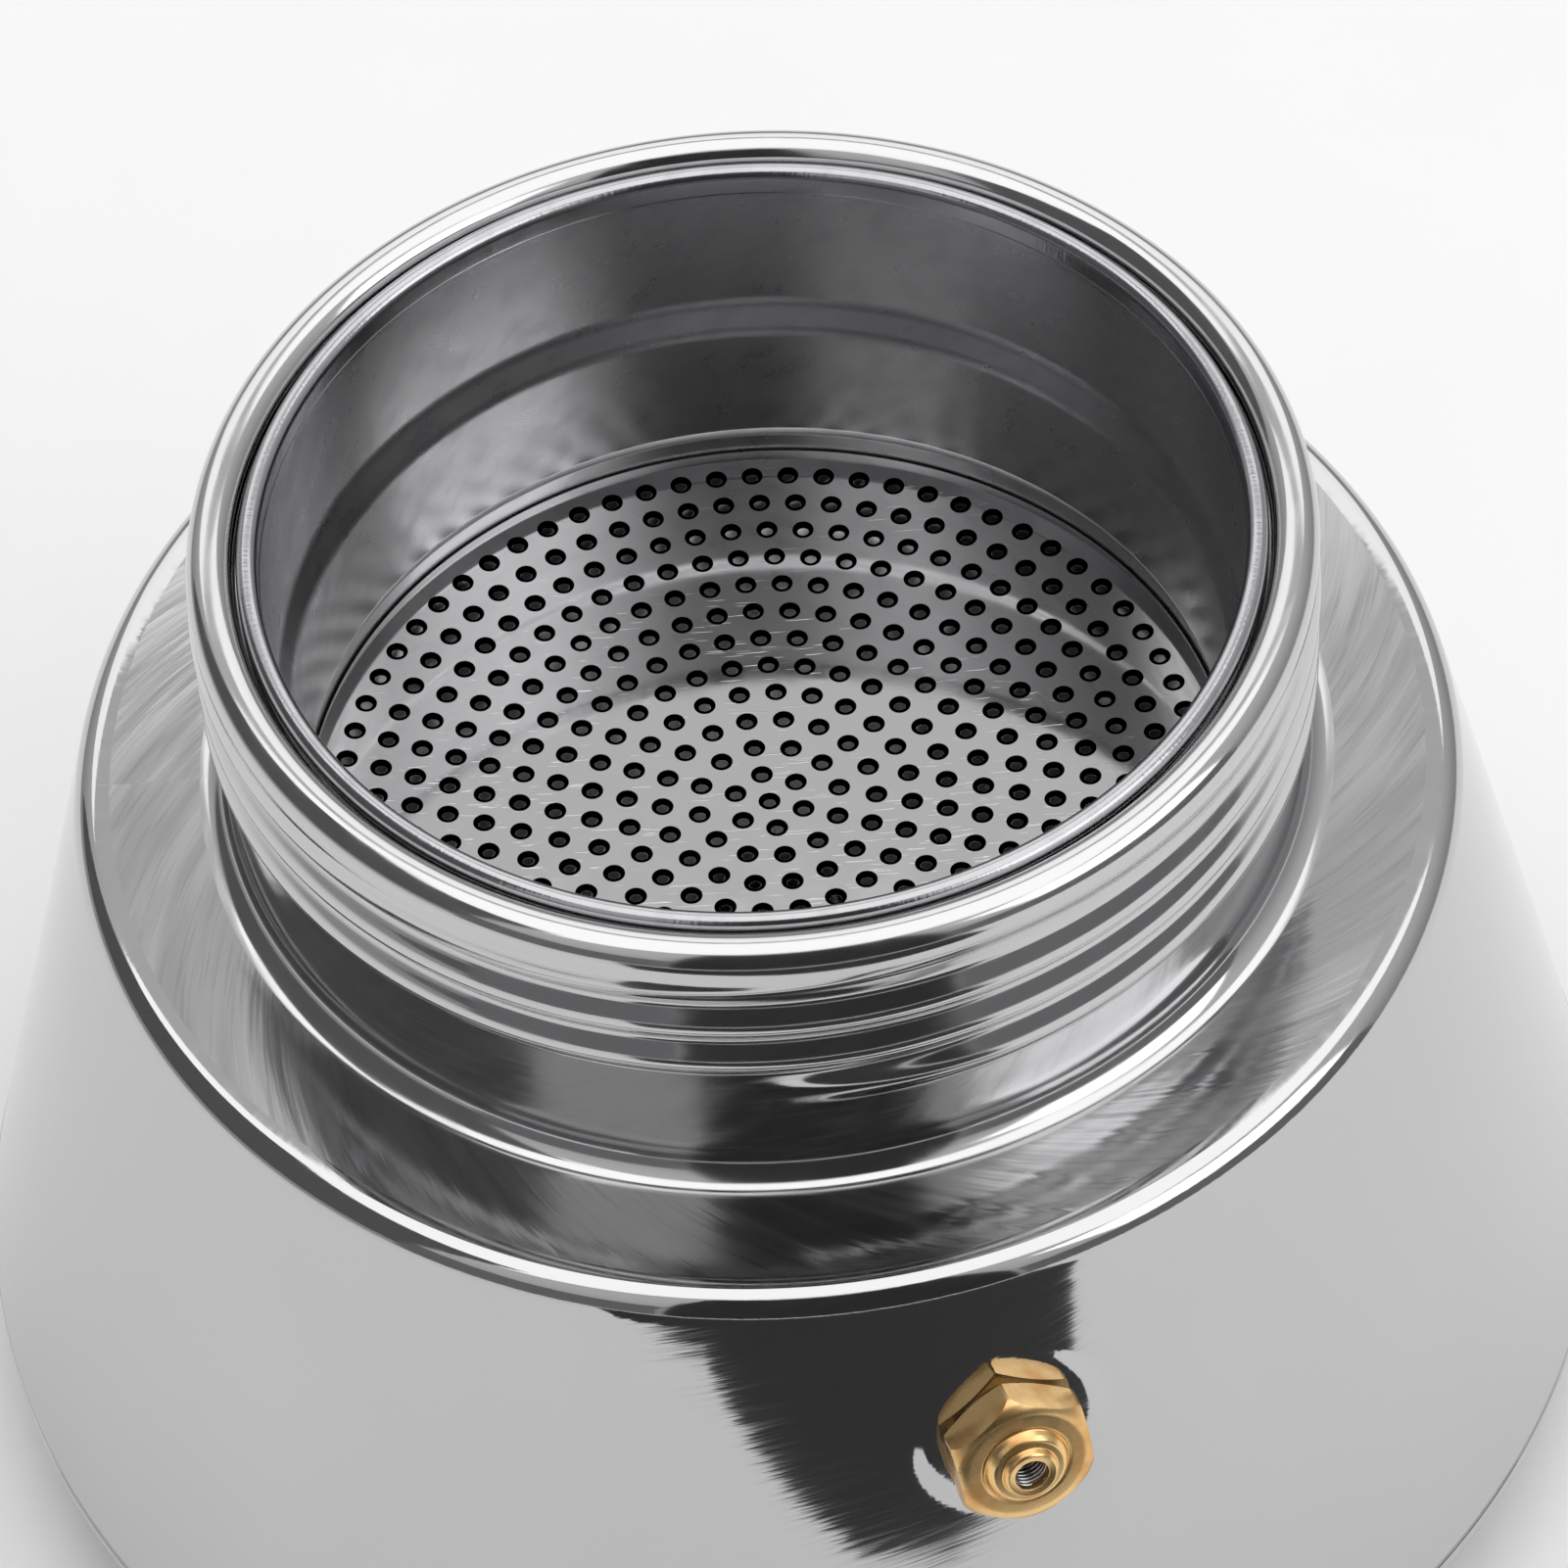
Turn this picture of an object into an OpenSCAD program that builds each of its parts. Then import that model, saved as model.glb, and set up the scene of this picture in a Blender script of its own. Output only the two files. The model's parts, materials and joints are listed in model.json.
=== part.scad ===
// Lower half of a stainless steel stovetop coffee maker, opened: conical boiler
// with a threaded neck, encapsulated base, lift-out funnel with its perforated
// plate, and a brass safety valve. Millimetres, +Z up, origin at the centre of
// the base's underside.

/* [Boiler] */
// Height of the flat shoulder above the table
shoulder_z = 62; // [56:0.5:80]
// Outer radius of the wall, produced up to the shoulder's height
cone_top_r = 52.6; // [51.5:0.1:60]
// Lean of the wall from the vertical, in degrees
wall_lean = 14.65; // [8:0.05:18]
// Thickness of the boiler's sheet
sheet_t = 0.8; // [0.6:0.1:1]
// Outer radius of the shoulder's flat ring
shoulder_flat_r = 50.9; // [48:0.1:51]
// Rounding where the floor pan turns up into the wall
floor_round = 4; // [3:0.5:5]

/* [Neck] */
// Height of the basket's seat plane above the shoulder
neck_h = 24.3; // [23:0.1:28]
// Outer radius of the plain neck, which is the thread's root
neck_r = 40.85; // [40.5:0.05:41]
// Depth of the rolled thread
thread_depth = 0.95; // [0.6:0.05:1.1]
// Distance from one thread crest to the next
thread_pitch = 4; // [3.8:0.1:4.2]
// Number of thread crests below the rim
thread_crests = 3; // [2:1:3]
// Fillet between the neck and the shoulder
neck_fillet = 2.4; // [1.5:0.1:3]
// Radius of the rim's rounded crown
crown_round = 1.7; // [1.5:0.1:1.8]

/* [Base] */
// Height of the encapsulated base
base_h = 6; // [4:0.5:8]
// Outer radius of the base's steel cap
base_r = 61; // [55:0.5:61.5]
// Thickness of the cap's sheet
cap_t = 0.6; // [0.4:0.1:0.8]
// Rounding of the cap's lower edge
cap_round = 1.5; // [1:0.1:2]

/* [Funnel] */
// Inner radius of the basket's upper wall
basket_r = 36.3; // [36:0.1:36.4]
// Inner radius of the basket's lower wall
basket_low_r = 35.2; // [34.5:0.1:35.3]
// Thickness of the basket's sheet
basket_t = 0.5; // [0.4:0.05:0.55]
// Radius of the curled lip's section
lip_round = 0.8; // [0.75:0.01:0.82]
// Depth of the step in the wall below the seat plane
step_depth = 13.6; // [10:0.1:16]
// Depth of the plate's seat below the seat plane
plate_depth = 30.6; // [28:0.1:33]
// Outer radius of the funnel's tube
tube_r = 5; // [4:0.1:6]
// Gap between the tube's lower end and the boiler's floor
tube_gap = 4; // [3:0.5:8]

/* [Filter plate] */
// Thickness of the plate
plate_t = 0.5; // [0.4:0.05:0.6]
// Radius of each hole
hole_r = 0.46; // [0.3:0.01:0.6]
// Distance from one ring of holes to the next
hole_pitch = 2.755; // [2.5:0.005:2.8]
// Number of rings of holes round the centre hole
hole_rings = 12; // [4:1:12]
// Direction of the first hole of every ring, in degrees
hole_start = 39.4; // [0:0.1:60]

/* [Safety valve] */
// Height of the valve's centre on the wall above the table
valve_z = 46.8; // [40:0.1:50]
// Direction of the valve round the boiler, in degrees
valve_az = -75.2; // [-180:0.1:180]
// Size across the flats of the hexagon
hex_af = 10; // [9:0.5:11]
// Turn of the hexagon about the valve's axis, in degrees
hex_turn = 4.9; // [0:0.1:60]
// Radius of the threaded shank through the wall
shank_r = 4; // [3.5:0.1:4]
// Radius of the outlet in the nipple's crimped end
outlet_r = 1.25; // [1.1:0.05:1.4]
// Radius of the valve's ball
ball_r = 1.7; // [1.6:0.05:1.8]
// Number of turns of the spring
spring_turns = 12; // [8:1:14]

/* [Hidden] */
$fn = 96;
eps = 0.01;

steel = [0.78, 0.78, 0.79];
satin_steel = [0.66, 0.66, 0.67];
aluminium = [0.72, 0.73, 0.75];
brass = [0.80, 0.60, 0.28];
rubber = [0.88, 0.88, 0.85];
spring_steel = [0.42, 0.42, 0.44];

// Boiler: the seat plane is the level at which the basket's lip lies in the rim
rim_z = shoulder_z + neck_h;
edge_c = cos(wall_lean) - tan(wall_lean) * (1 - sin(wall_lean));
edge_round = (cone_top_r - shoulder_flat_r) / edge_c;
seam_z = base_h + floor_round * (1 + sin(wall_lean));
thread_low_z = rim_z - 2 - thread_pitch * (thread_crests + 0.5) - 0.6;
thread_high_z = thread_low_z + thread_pitch * thread_crests;
crown_r = 39.9;
crown_z = rim_z - 0.8;
seat_r = 38.15;
seat_z = rim_z - 1.25;
seat_in_r = 37.15;

// Funnel: the lip is a curl whose centre lies just below the seat plane
lip_r = basket_r + lip_round;
lip_z = rim_z - 0.35;
step_drop = 2.2;
groove_r = 35.9;
groove_h = 2.8;
flare_h = 2.2;
plate_seat_z = rim_z - plate_depth;
plate_seat_w = 2;
plate_r = groove_r - 0.15;
tube_bore_r = tube_r - basket_t;
cone_drop = 14;
collar_h = 7;
cone_low_z = plate_seat_z - cone_drop;
tube_low_z = base_h + sheet_t + tube_gap;
tube_high_z = cone_low_z - 0.5;

// Valve: heights along its axis, from the wall's outer face outwards
washer_r = 4.75;
washer_out_h = 0.2;
hex_r = hex_af / 2 / cos(30);
hex_front_h = 3.45;
hex_chamfer = 0.5;
hex_round = 1.5;
collar_r = 3.05;
collar_top_h = 4;
nipple_r = 2;
nipple_top_h = 4.75;
chamber_r = 2;
chamber_low_h = -5;
chamber_top_h = 3;
bore_r = 1.6;
bore_top_h = 4.25;
seat_h = 1.2;
seat_plug_r = 2.7;
inlet_r = 1;
shank_low_h = -8;
washer_in_r = 6.5;
washer_in_t = 1.1;
nut_h = 3;
nut_r = 7;
wall_hole_r = shank_r + 0.2;
ball_h = chamber_low_h + 0.35;
wire_r = 0.17;
coil_r = 1.38;
coil_low_h = ball_h + sqrt(pow(ball_r + wire_r + 0.03, 2) - pow(coil_r, 2));
coil_high_h = bore_top_h - wire_r - 0.03;

// Outer radius of the leaning wall at height z
function cone_r(z) = cone_top_r + tan(wall_lean) * (shoulder_z - z);
// Points of an arc from angle a to angle b round (x, y), in n steps
function arc(x, y, r, a, b, n) =
    [for (i = [0 : n]) let (t = a + (b - a) * i / n) [x + r * cos(t), y + r * sin(t)]];
// Outer radius of the neck inside the thread's stretch, at height z
function thread_r(z) =
    neck_r + thread_depth / 2 * (1 - cos(360 * (z - thread_low_z) / thread_pitch));
// Points up one face of the rolled thread, moved in by t
function thread_face(t, n) =
    [for (i = [0 : n])
        let (z = thread_low_z + (thread_high_z - thread_low_z) * i / n) [thread_r(z) - t, z]];
function reverse(p) = [for (i = [len(p) - 1 : -1 : 0]) p[i]];

shell_outer = concat(
    [[cone_r(seam_z), seam_z]],
    arc(shoulder_flat_r, shoulder_z - edge_round, edge_round, wall_lean, 90, 8),
    reverse(arc(neck_r + neck_fillet, shoulder_z + neck_fillet, neck_fillet, 180, 270, 8)),
    thread_face(0, 8 * thread_crests),
    arc(crown_r, crown_z, crown_round, 0, 160, 12),
    [[seat_r, rim_z - 0.3]]);
shell_inner = concat(
    [[cone_r(seam_z) - sheet_t / cos(wall_lean), seam_z]],
    arc(shoulder_flat_r, shoulder_z - edge_round, edge_round - sheet_t, wall_lean, 90, 6),
    reverse(arc(neck_r + neck_fillet, shoulder_z + neck_fillet, neck_fillet + sheet_t, 180, 270, 8)),
    thread_face(sheet_t, 8 * thread_crests),
    [[seat_in_r, rim_z - 2.4], [seat_in_r, seat_z], [seat_r, seat_z]]);

floor_x = cone_r(seam_z) - floor_round * cos(wall_lean);
floor_y = base_h + floor_round;

// The solid that the leaning wall encloses, used to shape what sits on it
module boiler_solid(inset) {
    rotate_extrude($fn = 720)
        polygon([[0, seam_z], [cone_r(seam_z) - inset, seam_z],
                 [cone_r(shoulder_z) - inset, shoulder_z], [0, shoulder_z]]);
}

// Places its children with +Z along the valve's axis, outwards from the wall
module on_valve_axis() {
    rotate([0, 0, valve_az])
        translate([cone_r(valve_z), 0, valve_z])
            rotate([0, 90 - wall_lean, 0])
                children();
}

// A bar of revolution between two heights along its axis
module rod(r, low, high) {
    translate([0, 0, low]) cylinder(r = r, h = high - low);
}

// A flat washer between two heights along its axis
module ring(outer_r, inner_r, low, high) {
    difference() {
        rod(outer_r, low, high);
        rod(inner_r, low - 1, high + 1);
    }
}

// A hexagonal prism with its corners chamfered at the low end and rounded at the high end
module hexagon(r, low, high) {
    intersection() {
        rotate([0, 0, hex_turn])
            translate([0, 0, low]) cylinder(r = r, h = high - low, $fn = 6);
        rotate_extrude()
            polygon(concat(
                [[0, low], [r - 2 * hex_chamfer, low], [r, low + hex_chamfer]],
                arc(r - hex_round, high - hex_round, hex_round, 0, 90, 6),
                [[0, high]]));
    }
}

module base_cap() {
    color(steel)
        rotate_extrude()
            polygon(concat(
                [[0, 0]],
                arc(base_r - cap_round, cap_round, cap_round, -90, 0, 6),
                [[base_r, base_h], [base_r - cap_t, base_h]],
                reverse(arc(base_r - cap_round, cap_round, cap_round - cap_t, -90, 0, 6)),
                [[0, cap_t]]));
}

module base_core() {
    color(aluminium)
        rotate_extrude()
            polygon(concat(
                [[0, cap_t]],
                arc(base_r - cap_round, cap_round, cap_round - cap_t, -90, 0, 6),
                [[base_r - cap_t, base_h], [0, base_h]]));
}

module boiler_floor() {
    color(satin_steel)
        rotate_extrude()
            polygon(concat(
                [[0, base_h]],
                arc(floor_x, floor_y, floor_round, -90, wall_lean, 10),
                reverse(arc(floor_x, floor_y, floor_round - sheet_t, -90, wall_lean, 10)),
                [[0, base_h + sheet_t]]));
}

module boiler_shell() {
    color(steel)
        difference() {
            rotate_extrude()
                polygon(concat(shell_outer, reverse(shell_inner)));
            on_valve_axis() rod(wall_hole_r, -3, 3);
        }
}

module funnel_cup() {
    color(satin_steel)
        rotate_extrude()
            polygon(concat(
                arc(lip_r, lip_z, lip_round, 180, -acos((basket_t - lip_round) / lip_round), 16),
                [[basket_r + basket_t, rim_z - step_depth - basket_t / 2],
                 [basket_low_r + basket_t, rim_z - step_depth - step_drop - basket_t / 2],
                 [basket_low_r + basket_t, plate_seat_z + groove_h + flare_h],
                 [groove_r + basket_t, plate_seat_z + groove_h],
                 [groove_r + basket_t, plate_seat_z - basket_t],
                 [groove_r - plate_seat_w, plate_seat_z - basket_t],
                 [tube_r + basket_t, cone_low_z - basket_t],
                 [tube_r + basket_t, cone_low_z - collar_h],
                 [tube_r, cone_low_z - collar_h],
                 [tube_r, cone_low_z],
                 [groove_r - plate_seat_w, plate_seat_z],
                 [groove_r, plate_seat_z],
                 [groove_r, plate_seat_z + groove_h],
                 [basket_low_r, plate_seat_z + groove_h + flare_h],
                 [basket_low_r, rim_z - step_depth - step_drop],
                 [basket_r, rim_z - step_depth]]));
}

module funnel_tube() {
    color(satin_steel)
        ring(tube_r, tube_bore_r, tube_low_z, tube_high_z);
}

module filter_plate() {
    color(satin_steel)
        translate([0, 0, plate_seat_z])
            linear_extrude(plate_t)
                difference() {
                    circle(r = plate_r);
                    circle(r = hole_r, $fn = 16);
                    for (k = [1 : hole_rings], i = [0 : 6 * k - 1])
                        rotate([0, 0, hole_start + 60 * i / k])
                            translate([hole_pitch * k, 0]) circle(r = hole_r, $fn = 16);
                }
}

module valve_outer_washer() {
    color(rubber)
        difference() {
            on_valve_axis() ring(washer_r, shank_r + 0.05, -0.8, washer_out_h);
            boiler_solid(0);
        }
}

module valve_body() {
    color(brass)
        on_valve_axis()
            difference() {
                union() {
                    rod(shank_r, shank_low_h, washer_out_h + eps);
                    hexagon(hex_r, washer_out_h, hex_front_h);
                    rod(collar_r, hex_front_h - eps, collar_top_h);
                    rod(nipple_r, collar_top_h - eps, nipple_top_h);
                }
                rod(seat_plug_r, shank_low_h - 1, chamber_low_h);
                rod(chamber_r, chamber_low_h - eps, chamber_top_h);
                rod(bore_r, chamber_top_h - eps, bore_top_h);
                rod(outlet_r, bore_top_h - eps, nipple_top_h + 1);
            }
}

// The plug that holds the ball's conical seat, pressed into the shank's inner end
module valve_seat() {
    color(brass)
        on_valve_axis()
            difference() {
                rod(seat_plug_r, shank_low_h, chamber_low_h);
                translate([0, 0, chamber_low_h - seat_h])
                    cylinder(r1 = inlet_r, r2 = chamber_r, h = seat_h + eps);
                rod(inlet_r, shank_low_h - 1, chamber_low_h);
            }
}

module valve_inner_washer() {
    color(rubber)
        difference() {
            on_valve_axis() ring(washer_in_r, shank_r + 0.05, -sheet_t - washer_in_t, -sheet_t);
            difference() {
                boiler_solid(0);
                boiler_solid(sheet_t / cos(wall_lean));
            }
        }
}

module valve_nut() {
    color(brass)
        on_valve_axis()
            difference() {
                hexagon(nut_r, -sheet_t - washer_in_t - nut_h, -sheet_t - washer_in_t);
                rod(shank_r + 0.02, shank_low_h, 0);
            }
}

module valve_ball() {
    color(spring_steel)
        on_valve_axis() translate([0, 0, ball_h]) sphere(r = ball_r);
}

// The spring is one wire swept along a helix, with a ring of points at each step
module valve_spring() {
    sides = 8;
    steps = 16 * spring_turns;
    rise = coil_high_h - coil_low_h;
    points = [for (i = [0 : steps], j = [0 : sides - 1])
        let (t = 360 * spring_turns * i / steps,
             s = 360 * j / sides,
             r = coil_r + wire_r * cos(s))
        [r * cos(t), r * sin(t), coil_low_h + rise * i / steps + wire_r * sin(s)]];
    walls = [for (i = [0 : steps - 1], j = [0 : sides - 1])
        let (k = (j + 1) % sides)
        [i * sides + j, (i + 1) * sides + j, (i + 1) * sides + k, i * sides + k]];
    start_face = [for (j = [0 : sides - 1]) j];
    end_face = [for (j = [sides - 1 : -1 : 0]) steps * sides + j];
    color(spring_steel)
        on_valve_axis()
            polyhedron(points = points, faces = concat(walls, [start_face, end_face]));
}

base_cap();
base_core();
boiler_floor();
boiler_shell();
funnel_cup();
funnel_tube();
filter_plate();
valve_outer_washer();
valve_body();
valve_seat();
valve_inner_washer();
valve_nut();
valve_ball();
valve_spring();
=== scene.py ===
import json
import math

import bpy
import numpy as np
from mathutils import Matrix, Vector
from mathutils.geometry import delaunay_2d_cdt


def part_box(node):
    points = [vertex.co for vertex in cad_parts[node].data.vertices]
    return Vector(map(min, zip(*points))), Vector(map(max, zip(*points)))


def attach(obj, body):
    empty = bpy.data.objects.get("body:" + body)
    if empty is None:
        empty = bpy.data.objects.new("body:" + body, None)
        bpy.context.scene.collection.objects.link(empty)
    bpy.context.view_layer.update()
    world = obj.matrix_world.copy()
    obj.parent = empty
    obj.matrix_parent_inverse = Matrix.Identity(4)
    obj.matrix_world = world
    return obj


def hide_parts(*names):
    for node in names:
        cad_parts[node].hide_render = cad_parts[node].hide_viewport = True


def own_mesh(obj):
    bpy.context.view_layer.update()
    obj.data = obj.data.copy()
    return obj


# The looks of an opened moka pot base round its CAD frame. Outlines are in
# millimetres, as (radius, height) round an axis, and become metres in a mesh.
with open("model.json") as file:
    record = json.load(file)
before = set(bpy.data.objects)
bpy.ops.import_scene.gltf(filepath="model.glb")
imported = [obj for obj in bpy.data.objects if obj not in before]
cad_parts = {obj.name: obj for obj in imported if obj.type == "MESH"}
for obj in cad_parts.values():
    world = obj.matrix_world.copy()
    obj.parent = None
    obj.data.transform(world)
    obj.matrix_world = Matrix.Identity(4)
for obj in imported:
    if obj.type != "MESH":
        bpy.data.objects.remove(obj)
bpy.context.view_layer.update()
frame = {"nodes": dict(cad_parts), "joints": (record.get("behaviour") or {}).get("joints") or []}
MM = 0.001
STAGE_RADIUS = 6.0


# ---------------------------------------------------------------- places
def top(node):
    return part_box(node)[1].z / MM


def bottom(node):
    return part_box(node)[0].z / MM


def reach(node):
    """Outer radius of a node of revolution about the Z axis."""
    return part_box(node)[1].x / MM


CROWN_TOP = top("boiler_shell")
RIM_Z = CROWN_TOP - 0.9
SHOULDER_Z = RIM_Z - 24.3
SEAM_Z = bottom("boiler_shell")
SEAM_R = reach("boiler_shell")
WALL_LEAN = math.radians(14.65)
WALL_SLOPE = math.tan(WALL_LEAN)
SHEET = 0.8
NECK_R = 40.85
VALVE_JOINT = next(j for j in frame["joints"] if j["name"] == "valve_lift")
VALVE_AXIS = Vector(VALVE_JOINT["axis"]).normalized()
BALL_H = -4.65


def wall_r(z):
    return SEAM_R - WALL_SLOPE * (z - SEAM_Z)


def valve_frame():
    """The valve's own axes: +Z outwards along its axis, +X down the wall, origin on the wall."""
    low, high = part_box("valve_ball")
    down = (VALVE_AXIS.z * VALVE_AXIS - Vector((0, 0, 1))).normalized()
    side = VALVE_AXIS.cross(down)
    turn = Matrix((down, side, VALVE_AXIS)).transposed().to_4x4()
    return Matrix.Translation((low + high) / 2 - VALVE_AXIS * BALL_H * MM) @ turn


# ---------------------------------------------------------------- outlines
def arc(x, y, r, start, end, steps):
    """Points of an arc round (x, y), from one angle in degrees to another."""
    turns = [math.radians(start + (end - start) * i / steps) for i in range(steps + 1)]
    return [(x + r * math.cos(t), y + r * math.sin(t)) for t in turns]


def line(a, b, steps):
    """Points along a straight line, both ends included."""
    return [(a[0] + (b[0] - a[0]) * i / steps, a[1] + (b[1] - a[1]) * i / steps)
            for i in range(steps + 1)]


def softened(corners, steps=5):
    """An outline with each corner (x, y, radius) rounded off; a radius of 0 keeps it sharp."""
    out = []
    count = len(corners)
    for i, (x, y, r) in enumerate(corners):
        here = Vector((x, y))
        before = Vector(corners[i - 1][:2]) - here
        after = Vector(corners[(i + 1) % count][:2]) - here
        angle = before.angle(after) if before.length and after.length else math.pi
        if r <= 0 or abs(math.pi - angle) < 0.02:
            out.append((x, y))
            continue
        cut = min(r / math.tan(angle / 2), 0.49 * before.length, 0.49 * after.length)
        a = here + before.normalized() * cut
        b = here + after.normalized() * cut
        for k in range(steps + 1):
            t = k / steps
            p = a * (1 - t) ** 2 + here * 2 * t * (1 - t) + b * t ** 2
            out.append((p.x, p.y))
    return out


# ---------------------------------------------------------------- meshes
def new_object(name, points, faces, sharp=None):
    mesh = bpy.data.meshes.new(name)
    mesh.from_pydata(points, [], faces)
    mesh.validate()
    mesh.shade_smooth()
    if sharp:
        mesh.set_sharp_from_angle(angle=math.radians(sharp))
    made = bpy.data.objects.new(name, mesh)
    bpy.context.scene.collection.objects.link(made)
    return made


def grid_faces(rows, columns):
    """Quads of a grid whose columns go round, and whose rows close on themselves."""
    faces = []
    for i in range(rows):
        k = (i + 1) % rows
        for j in range(columns):
            n = (j + 1) % columns
            faces.append((i * columns + j, i * columns + n, k * columns + n, k * columns + j))
    return faces


def turned(name, radii, heights, sharp=35):
    """A solid of revolution from arrays of radii and heights, one row per outline point.
    A row on the axis becomes one point."""
    rows, columns = radii.shape
    angles = 2 * math.pi * np.arange(columns) / columns
    x, y = radii * np.cos(angles), radii * np.sin(angles)
    points = np.stack([x, y, np.broadcast_to(heights, radii.shape)], axis=-1).reshape(-1, 3) * MM
    faces = grid_faces(rows, columns)
    on_axis = np.all(radii < 1e-6, axis=1)
    if on_axis.any():
        alias = np.arange(len(points))
        for i in np.nonzero(on_axis)[0]:
            alias[i * columns:(i + 1) * columns] = i * columns
        kept = []
        for face in faces:
            corners = list(dict.fromkeys(int(alias[v]) for v in face))
            if len(corners) > 2:
                kept.append(corners)
        used = np.unique([v for face in kept for v in face])
        place = {int(v): n for n, v in enumerate(used)}
        faces = [[place[v] for v in face] for face in kept]
        points = points[used]
    return new_object(name, points.tolist(), faces, sharp)


def lathe(name, outline, columns=256, sharp=35):
    """A solid of revolution with one outline all the way round."""
    shape = np.array(outline, float)
    radii = np.repeat(shape[:, :1], columns, axis=1)
    return turned(name, radii, shape[:, 1:], sharp)


def paint_rows(obj, columns, materials, row_index):
    """Gives each band of a turned mesh one of its materials, row by row."""
    for material in materials:
        obj.data.materials.append(material)
    index = np.repeat(np.array(row_index, np.int32), columns)
    obj.data.polygons.foreach_set("material_index", index)


def cut_by(obj, cutter):
    """Takes the cutter's space out of obj, and removes the cutter."""
    modifier = obj.modifiers.new("cut", "BOOLEAN")
    modifier.operation = "DIFFERENCE"
    modifier.solver = "EXACT"
    modifier.object = cutter
    shaped = obj.evaluated_get(bpy.context.evaluated_depsgraph_get())
    mesh = bpy.data.meshes.new_from_object(shaped)
    obj.modifiers.clear()
    obj.data = mesh
    bpy.data.objects.remove(cutter)


# ---------------------------------------------------------------- material nodes
def add(tree, kind, inputs=None, **settings):
    """A new node with its settings, and its inputs as values or links."""
    made = tree.nodes.new(kind)
    for key, value in settings.items():
        setattr(made, key, value)
    for key, value in (inputs or {}).items():
        if isinstance(value, bpy.types.NodeSocket):
            tree.links.new(value, made.inputs[key])
        else:
            made.inputs[key].default_value = value
    return made


def calc(tree, operation, a, b=0.0):
    return add(tree, "ShaderNodeMath", {0: a, 1: b}, operation=operation).outputs[0]


def remap(tree, value, low, high, out_low=0.0, out_high=1.0):
    return add(tree, "ShaderNodeMapRange", {
        "Value": value, "From Min": low, "From Max": high, "To Min": out_low, "To Max": out_high,
    }, interpolation_type="SMOOTHSTEP").outputs["Result"]


def blend_colour(tree, share, a, b):
    mix = add(tree, "ShaderNodeMix", {"Factor": share}, data_type="RGBA")
    for socket, value in ((mix.inputs[6], a), (mix.inputs[7], b)):
        if isinstance(value, bpy.types.NodeSocket):
            tree.links.new(value, socket)
        else:
            socket.default_value = (*value, 1)
    return mix.outputs[2]


def polar(tree):
    """(unit x, unit y, radius, height) of a point, about its object's Z axis."""
    place = add(tree, "ShaderNodeTexCoord").outputs["Object"]
    parts = add(tree, "ShaderNodeSeparateXYZ", {0: place})
    flat = add(tree, "ShaderNodeCombineXYZ", {0: parts.outputs[0], 1: parts.outputs[1]}).outputs[0]
    radius = add(tree, "ShaderNodeVectorMath", {0: flat}, operation="LENGTH").outputs["Value"]
    unit = add(tree, "ShaderNodeVectorMath", {0: flat}, operation="NORMALIZE").outputs["Vector"]
    way = add(tree, "ShaderNodeSeparateXYZ", {0: unit})
    return way.outputs[0], way.outputs[1], radius, parts.outputs[2]


def ring_place(tree, around, outwards, upwards, twist=0.0):
    """Coordinates for streaks: how often the pattern changes along the turn, the radius and
    the height. A twist leans the streaks."""
    ux, uy, radius, height = polar(tree)
    slide = calc(tree, "ADD", calc(tree, "MULTIPLY", radius, outwards),
                 calc(tree, "MULTIPLY", height, upwards))
    if twist:
        angle = calc(tree, "ARCTAN2", uy, ux)
        slide = calc(tree, "ADD", slide, calc(tree, "MULTIPLY", angle, twist))
    x = calc(tree, "MULTIPLY", ux, around)
    y = calc(tree, "MULTIPLY", uy, around)
    return add(tree, "ShaderNodeCombineXYZ", {0: x, 1: y, 2: slide}).outputs[0]


def plain_place(tree, scale, turn=(0, 0, 0)):
    place = add(tree, "ShaderNodeTexCoord").outputs["Object"]
    return add(tree, "ShaderNodeMapping", {
        "Vector": place, "Scale": scale, "Rotation": [math.radians(a) for a in turn],
    }).outputs[0]


def noise(tree, place, scale=1.0, detail=2.0, rough=0.5):
    return add(tree, "ShaderNodeTexNoise", {
        "Vector": place, "Scale": scale, "Detail": detail, "Roughness": rough,
    }).outputs["Fac"]


def scratches(tree, length, spacing, turn, amount):
    """Sparse fine lines: a stretched noise cut off high, broken up by a coarse one."""
    lines = noise(tree, plain_place(tree, (1 / length, 1 / spacing, 1 / spacing), turn), 1.0, 1.0)
    patches = noise(tree, plain_place(tree, (1 / (4 * length),) * 3, turn), 1.0, 1.0)
    cut = remap(tree, lines, 0.74 - 0.08 * amount, 0.80)
    return calc(tree, "MULTIPLY", cut, remap(tree, patches, 0.45, 0.62))


def bumped(tree, heights):
    """A chain of bumps from (height, depth in metres) pairs."""
    normal = None
    for height, depth in heights:
        inputs = {"Height": height, "Distance": depth, "Strength": 1.0}
        if normal is not None:
            inputs["Normal"] = normal
        normal = add(tree, "ShaderNodeBump", inputs).outputs["Normal"]
    return normal


def metal(name, colour, roughness, anisotropic=0.0):
    """A metal's material, its node tree and its shader, ready for more nodes."""
    material = bpy.data.materials.new(name)
    material.use_nodes = True
    tree = material.node_tree
    shader = tree.nodes["Principled BSDF"]
    shader.inputs["Base Color"].default_value = (*colour, 1)
    shader.inputs["Metallic"].default_value = 1.0
    shader.inputs["Roughness"].default_value = roughness
    shader.inputs["Anisotropic"].default_value = anisotropic
    if anisotropic:
        tangent = add(tree, "ShaderNodeTangent", direction_type="RADIAL", axis="Z")
        tree.links.new(tangent.outputs[0], shader.inputs["Tangent"])
    return material, tree, shader


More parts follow.
